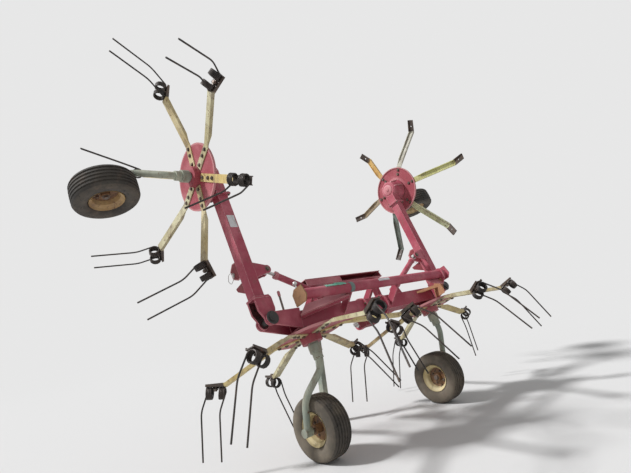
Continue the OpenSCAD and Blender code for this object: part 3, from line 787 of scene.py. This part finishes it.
# Fold forks at the wing tubes' feet, with painted shade on their inner faces, and the eyes of the cylinder
# rods
FORK_Y = 0.036
EYE_Y = 0.026
eye_base = WING_Z + WING_W / 2 - HINGE_Z
fork_side = [(-0.147, -0.058), (-0.060, -0.058)] + arc(0, 0, 0.035, -105, 62, 14)
fork_side += [(-0.062, 0.060)] + arc(-0.125, 0.038, 0.022, 90, 180, 5)
fork_shade_outline = [(-0.133, -0.055), (-0.062, -0.055)] + arc(0, 0, 0.031, -105, 62, 10)
fork_shade_outline += [(-0.064, 0.045), (-0.133, 0.045)]
eye_side = [(-0.050, eye_base), (0.050, eye_base)] + arc(0, EYE_IN, 0.026, -12, 192, 14)
eye_stub = [(0.0088, -0.0095), (0.0088, 0.0005)]
for side_name, side in SIDES.items():
    foot = wing(side) @ move(WING_REACH, 0, HINGE_Z)
    eye = wing(side) @ move(WING_REACH - EYE_UP, 0, HINGE_Z)
    fork = Batch()
    for way in (-1, 1):
        cheek = plate(fork_side, CLEVIS_THICK, [(0, 0, PIN_HOLE_R)])
        fork_shade_sheet = plate(fork_shade_outline, SHADE_SHEET, [(0, 0, PIN_HOLE_R + 0.0002)])
        fork.add(cheek, foot @ move(0, way * FORK_Y, 0) @ ALONG)
        # painted shade: a thin dark sheet on the cheek's inner face
        fork.add(fork_shade_sheet, foot @ move(0, way * (FORK_Y - CLEVIS_THICK / 2 - PROUD), 0) @ ALONG, False, 1)
    fork.add(slab(0.012, 0.092, 0.104), foot @ move(-0.141, 0, -0.006))
    fork.add(slab(0.074, 0.060, 0.010), foot @ move(-0.098, 0, 0.052))
    for y in (-EYE_Y, EYE_Y):
        fork.add(plate(eye_side, 0.010, [(0, EYE_IN, 0.0093)]), eye @ move(0, y, 0) @ ALONG)
    piece = fork.make("fold_fork_" + side_name, "wing_" + side_name, [red_paint, fork_shade])
    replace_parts(piece, "wing_fork_" + side_name)
    pin = Batch()
    for way in (-1, 1):
        outside = eye @ move(0, way * (EYE_Y + 0.005), EYE_IN) @ turn(-90 * way, "X")
        pin.add(bolt_head(0.0120, 0.009), outside)
        pin.add(revolve(eye_stub, 16), outside, True)
    pin.make("eye_pins_" + side_name, "wing_" + side_name, bolt_steel)

# Ribs, cap and plug of the wing gearboxes, end rings and ports of the cylinders
RAM_X = HINGE_X - EYE_IN - FOOT_X
RAM_Z = HINGE_Z + EYE_UP - FOOT_Z
RAM = math.hypot(RAM_X, RAM_Z)
RAM_TURN = 90 - math.degrees(math.atan2(RAM_Z, RAM_X))
PORTS_Z = (0.092, RAM - 0.098)
RIB_ANGLES = (90, 135, 180, 225, 270)
gear_rib = [(0.070, 0.024), (0.100, 0.024), (0.096, 0.060), (0.081, 0.112), (0.066, 0.118)]
gear_cap = [(0.046, 0.1275), (0.046, 0.1320), (0.040, 0.1355), (0.014, 0.1370), (0.014, 0.1430),
            (0.010, 0.1450)]
foot_ring = [(0.0205, 0.058), (0.0235, 0.058), (0.0248, 0.060), (0.0248, 0.078), (0.0235, 0.080),
             (0.0205, 0.080)]
gland = [(r, z + RAM - 0.146) for r, z in foot_ring] + [(0.0120, RAM - 0.0640)]
for side_name, side in SIDES.items():
    cast = Batch()
    for angle in RIB_ANGLES:
        cast.add(plate(gear_rib, 0.008), wing(side) @ turn(angle, "Z") @ ALONG)
    cast.add(revolve(gear_cap, 32), wing(side), True)
    cast.make("gear_ribs_" + side_name, "wing_" + side_name, faded_and_sunlit_paint)
    rings = Batch()
    ram = on_side(-side) @ move(FOOT_X, 0, FOOT_Z) @ turn(RAM_TURN, "Y")
    rings.add(revolve(foot_ring, 28, closed=True), ram, True)
    rings.add(revolve(gland, 28, closed=True), ram, True)
    for z in PORTS_Z:
        port = ram @ move(0, 0, z) @ turn(-90, "X")
        rings.add(revolve([(0.0090, 0.015), (0.0090, 0.027), (0.0075, 0.0285)], 14), port, True)
        rings.add(revolve([(0.0062, 0.028), (0.0062, 0.033)], 6), port)
    rings.make("ram_rings_" + side_name, "barrel_" + side_name, faded_and_sunlit_paint)

# Fastenings of the frame: flange bolts, and heads and washers at the pins
FLANGE_X = 0.114
FLANGE_BOLT_R = 0.0610
FLANGE_BOLT = bolt_head(0.0065, 0.008)
FLANGE_ANGLES = (15, 75, 105, 165, 195, 255, 285, 345)
bolts = Batch()
for way in (-1, 1):
    for angle in FLANGE_ANGLES:
        flange = MACHINE @ move(way * FLANGE_X, 0, SHAFT_Z) @ turn(90 * way, "Y") @ turn(angle, "Z")
        bolts.add(FLANGE_BOLT, flange @ move(FLANGE_BOLT_R, 0, 0))
for side in SIDES.values():
    for way in (-1, 1):
        end = on_side(side) @ move(-FOOT_X, way * 0.030, FOOT_Z) @ turn(-90 * way, "X")
        bolts.add(bolt_head(0.010, 0.009), end)
bolts.make("frame_bolts", "frame", bolt_steel)

WASHER = [(0.0165, 0), (0.038, 0), (0.040, 0.0015), (0.039, 0.0060), (0.036, 0.0066), (0.0165, 0.0066)]
washers = Batch()
for side in SIDES.values():
    pin = on_side(side) @ move(-HINGE_X, -CLEVIS_Y - 0.0061, HINGE_Z) @ turn(90, "X")
    washers.add(revolve(WASHER, 40, closed=True), pin, True)
washers.make("hinge_washers", "frame", greasy_steel)

# Bolts through the square flanges between each wing tube and its gearbox
SQUARE_BOLT = 0.0425
# outer faces of the two flanges: place along the tube and turn of the bolts there
SQUARE_FACES = ((0.138, -90), (0.150, 90))
for side_name, side in SIDES.items():
    bolts = Batch()
    for y in (-SQUARE_BOLT, SQUARE_BOLT):
        for z in (-SQUARE_BOLT, SQUARE_BOLT):
            for x, angle in SQUARE_FACES:
                bolts.add(FLANGE_BOLT, wing(side) @ move(x, y, WING_Z + z) @ turn(angle, "Y"))
    bolts.make("wing_bolts_" + side_name, "wing_" + side_name, bolt_steel)

# Hexagonal lugs with a pin and wire clip on the front of each wing tube, and a plate below them
LUG_X = 0.640
LUG_Z = 0.027
LUG_THICK = 0.006
LUG_SKIN = 0.0006
FACE = WING_W / 2
lug_side = [(-0.052, FACE), (0.052, FACE), (0.056, FACE + 0.030), (0.030, FACE + 0.074),
            (-0.024, FACE + 0.078), (-0.056, FACE + 0.038)]
lug_skin = [(x * 0.90, FACE + (y - FACE) * 0.90) for x, y in lug_side]
low_plate = [(0.064, FACE), (0.165, FACE), (0.100, FACE + 0.105), (0.076, FACE + 0.115)]
clip_wire = [(0, 0, -0.0385), (0.012, -0.008, -0.0385), (0.026, 0.004, -0.0400), (0.042, 0.036, -0.0420),
             (0.016, 0.056, -0.0420), (-0.018, 0.040, -0.0410), (-0.022, 0.010, -0.0400),
             (-0.006, -0.004, -0.0385)]
for side_name, side in SIDES.items():
    lug = wing(side) @ move(LUG_X, 0, WING_Z)
    lugs = Batch()
    for z in (-LUG_Z, LUG_Z):
        lugs.add(plate(lug_side, LUG_THICK), lug @ move(0, 0, z), False, 1)
        for way in (-1, 1):
            lugs.add(plate(lug_skin, LUG_SKIN), lug @ move(0, 0, z + way * (LUG_THICK + LUG_SKIN) / 2))
    lugs.add(slab(0.006, 0.036, 0.050), lug @ move(-0.040, FACE + 0.018, 0))
    lugs.add(plate(low_plate, 0.008), lug)
    lugs.make("front_lugs_" + side_name, "wing_" + side_name, [dark_paint_and_shade, faded_and_sunlit_paint])
    pin = Batch()
    hole = lug @ move(0.010, FACE + 0.052, 0)
    pin.add(revolve([(0.0075, -0.042), (0.0085, -0.041), (0.0085, 0.041), (0.0075, 0.042)], 16), hole, True)
    for z in (-0.0355, 0.0305):
        pin.add(revolve([(0.013, z), (0.013, z + 0.005)], 16), hole, True)
    pin.add(swept(rounded(clip_wire, 0.010), 0.0019), hole, True)
    pin.make("lug_pin_" + side_name, "wing_" + side_name, bright_steel)

# Ball grip on the upper tube's left end plate
BALL_R = 0.0135
ball = [(BALL_R * math.sin(math.pi * k / 10) + 0.0004, 0.026 - BALL_R * math.cos(math.pi * k / 10))
        for k in range(11)]
stem = MACHINE @ move(-UPPER_HALF - 0.004, UPPER_Y + 0.006, UPPER_Z + 0.047)
grip = Batch()
grip.add(revolve([(0.005, 0), (0.005, 0.016)], 12), stem, True)
grip.add(revolve(ball, 20), stem, True)
grip.make("ball_grip", "frame", bright_steel)


# Tape, wrap and blank labels on the upper tube
def band(start, end, low, high, lift, wave=0.0):
    """Strip on the upper tube between two stations and two angles, in the machine's frame."""
    along = 18
    around = 10
    points = []
    for shell in (lift, lift - 0.0012):
        for i in range(along + 1):
            x = start + (end - start) * i / along
            for k in range(around + 1):
                ripple = wave * (math.sin(i * 1.9 + k * 0.8) + math.sin(i * 0.7 - k))
                edge = wave * 6 * math.sin(i * 1.3) * (k / around - 0.5)
                a = math.radians(low + (high - low) * k / around) + edge
                r = UPPER_R + shell + abs(ripple)
                points.append((x, UPPER_Y - r * math.cos(a), UPPER_Z + r * math.sin(a)))
    row = around + 1
    layer = (along + 1) * row
    faces = []
    for i in range(along):
        for k in range(around):
            a, b, c, d = i * row + k, (i + 1) * row + k, (i + 1) * row + k + 1, i * row + k + 1
            faces.append((a, b, c, d))
            faces.append((layer + d, layer + c, layer + b, layer + a))
    for i in range(along):
        near, far = i * row, (i + 1) * row
        faces.append((near, layer + near, layer + far, far))
        near, far = near + around, far + around
        faces.append((far, layer + far, layer + near, near))
    last = along * row
    for k in range(around):
        faces.append((k, k + 1, layer + k + 1, layer + k))
        faces.append((last + k + 1, last + k, layer + last + k, layer + last + k + 1))
    return points, faces


# piece's name, material and its strips: start, end, low and high angle, lift and wave
BANDS = [
    ("green_tape", green_tape, [(-0.560, -0.385, 25, 62, 0.0018, 0.0020),
                                (-0.470, -0.405, 48, 96, 0.0040, 0.0030)]),
    ("teal_wrap", teal_tape, [(-0.352, -0.318, -78, 82, 0.0016, 0.0005)]),
    ("blank_label", label_white, [(-0.070, 0.042, 2, 36, 0.0014)]),
]
for name, material, strips in BANDS:
    tape = Batch()
    for strip in strips:
        tape.add(band(*strip), MACHINE, True)
    tape.make(name, "frame", material)

# A blank sticker on the left wing tube, on its outer rear face
sticker = Batch()
sticker.add(slab(0.085, 0.0012, 0.052), wing(-1) @ move(0.345, -FACE - PROUD, WING_Z))
sticker.make("blank_sticker", "wing_left", label_white)


# Materials of the CAD nodes
def finish_of(name):
    if name.startswith("rod") or name in ("pto_shaft", "lower_pins"):
        return bright_steel
    if name == "hinge_pins":
        return greasy_steel
    if name == "tube_ends":
        return rusty_steel
    if name == "stand":
        return leg_paint
    if name == "gearboxes":
        return dark_paint_and_shade
    return red_paint


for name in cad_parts:
    if not name.startswith(("rim_", "arms_", "disc_")):
        paint(name, [finish_of(name)])

for name, rotor, phase, sweep in ROTORS:
    paint("disc_" + name, [disc_paint(name, rotor)])
    tones = ARM_TONES + ARM_TONES if sweep else OLD_LIT_AND_SHADED_TONES

    def which_arm(here, back=rotor.inverted(), phase=phase):
        spot = back @ here
        return round((math.degrees(math.atan2(spot.y, spot.x)) - phase) / ARM_STEP) % ARMS

    paint("arms_" + name, arm_paints(name, rotor, tones), which_arm)

# The plate on the upper tube's right end kept its paint
paint("tube_ends", [rusty_steel, red_paint], lambda here: 1 if here.x > 0 else 0)

# Shading: smooth across shallow edges of the CAD meshes
CAD_SHARP = math.radians(28)
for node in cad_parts.values():
    if not node.hide_render:
        node.data.set_sharp_from_angle(angle=CAD_SHARP)

# Floor that fades into the backdrop's tone away from the machine
BACKDROP = 0.80
FLOOR = 0.66
FADE_START = 2.6
FADE_END = 8.0


def rays_seen(nodes, links):
    """1 for rays from the camera, glossy and clear surfaces, 0 for those that light the object."""
    path = nodes.new("ShaderNodeLightPath")
    total = path.outputs["Is Camera Ray"]
    for kind in ("Is Glossy Ray", "Is Transmission Ray"):
        both = nodes.new("ShaderNodeMath")
        both.operation = "MAXIMUM"
        links.new(total, both.inputs[0])
        links.new(path.outputs[kind], both.inputs[1])
        total = both.outputs["Value"]
    return total


floor_material, nodes, links = new_material("floor")
ground = nodes["Principled BSDF"]
ground.inputs["Base Color"].default_value = (FLOOR, FLOOR, FLOOR, 1)
ground.inputs["Roughness"].default_value = 0.9
distant = nodes.new("ShaderNodeEmission")
distant.inputs["Strength"].default_value = BACKDROP
place = nodes.new("ShaderNodeTexCoord")
away = nodes.new("ShaderNodeVectorMath")
away.operation = "LENGTH"
links.new(place.outputs["Object"], away.inputs[0])
far = ramp(nodes, links, away.outputs["Value"], FADE_START, FADE_END)
share = nodes.new("ShaderNodeMath")
share.operation = "MULTIPLY"
links.new(far, share.inputs[0])
links.new(rays_seen(nodes, links), share.inputs[1])
blend = nodes.new("ShaderNodeMixShader")
links.new(share.outputs["Value"], blend.inputs["Fac"])
links.new(ground.outputs["BSDF"], blend.inputs[1])
links.new(distant.outputs["Emission"], blend.inputs[2])
links.new(blend.outputs["Shader"], nodes["Material Output"].inputs["Surface"])
bpy.ops.mesh.primitive_plane_add(size=160, location=(0, 0, 0))
floor = bpy.context.object
floor.name = "floor"
floor.data.materials.append(floor_material)

SKY_LIGHT = 0.40
world = bpy.data.worlds.new("studio")
bpy.context.scene.world = world
world.use_nodes = True
sky = world.node_tree
background = sky.nodes["Background"]
background.inputs["Color"].default_value = (1, 1, 1, 1)
level = sky.nodes.new("ShaderNodeMapRange")
level.inputs["To Min"].default_value = SKY_LIGHT
level.inputs["To Max"].default_value = BACKDROP
sky.links.new(rays_seen(sky.nodes, sky.links), level.inputs["Value"])
sky.links.new(level.outputs["Result"], background.inputs["Strength"])

# Lamp: a soft sun from the left and a little behind, as in the photograph
sun_data = bpy.data.lights.new("sun", "SUN")
sun_data.energy = 3.5
sun_data.angle = 0.12
sun = bpy.data.objects.new("sun", sun_data)
sun.rotation_euler = Vector((0.62, -0.44, -0.76)).to_track_quat("-Z", "Y").to_euler()
bpy.context.scene.collection.objects.link(sun)

# Camera fitted to the photograph: its place and the directions of its right, its top and its back
CAMERA_PLACE = (-2.52572, -2.24618, 0.99134)
RIGHT = (0.721842, -0.678065, -0.138462)
UP = (0.026517, -0.172827, 0.984595)
BACK = (-0.69155, -0.714393, -0.106774)
camera_data = bpy.data.cameras.new("camera")
camera_data.lens = 26.888
camera_data.sensor_width = 36
camera = bpy.data.objects.new("camera", camera_data)
rows = list(zip(RIGHT, UP, BACK, CAMERA_PLACE))
camera.matrix_world = Matrix((*rows, (0, 0, 0, 1)))
bpy.context.scene.collection.objects.link(camera)
bpy.context.scene.camera = camera
bpy.context.scene.view_settings.view_transform = "Standard"
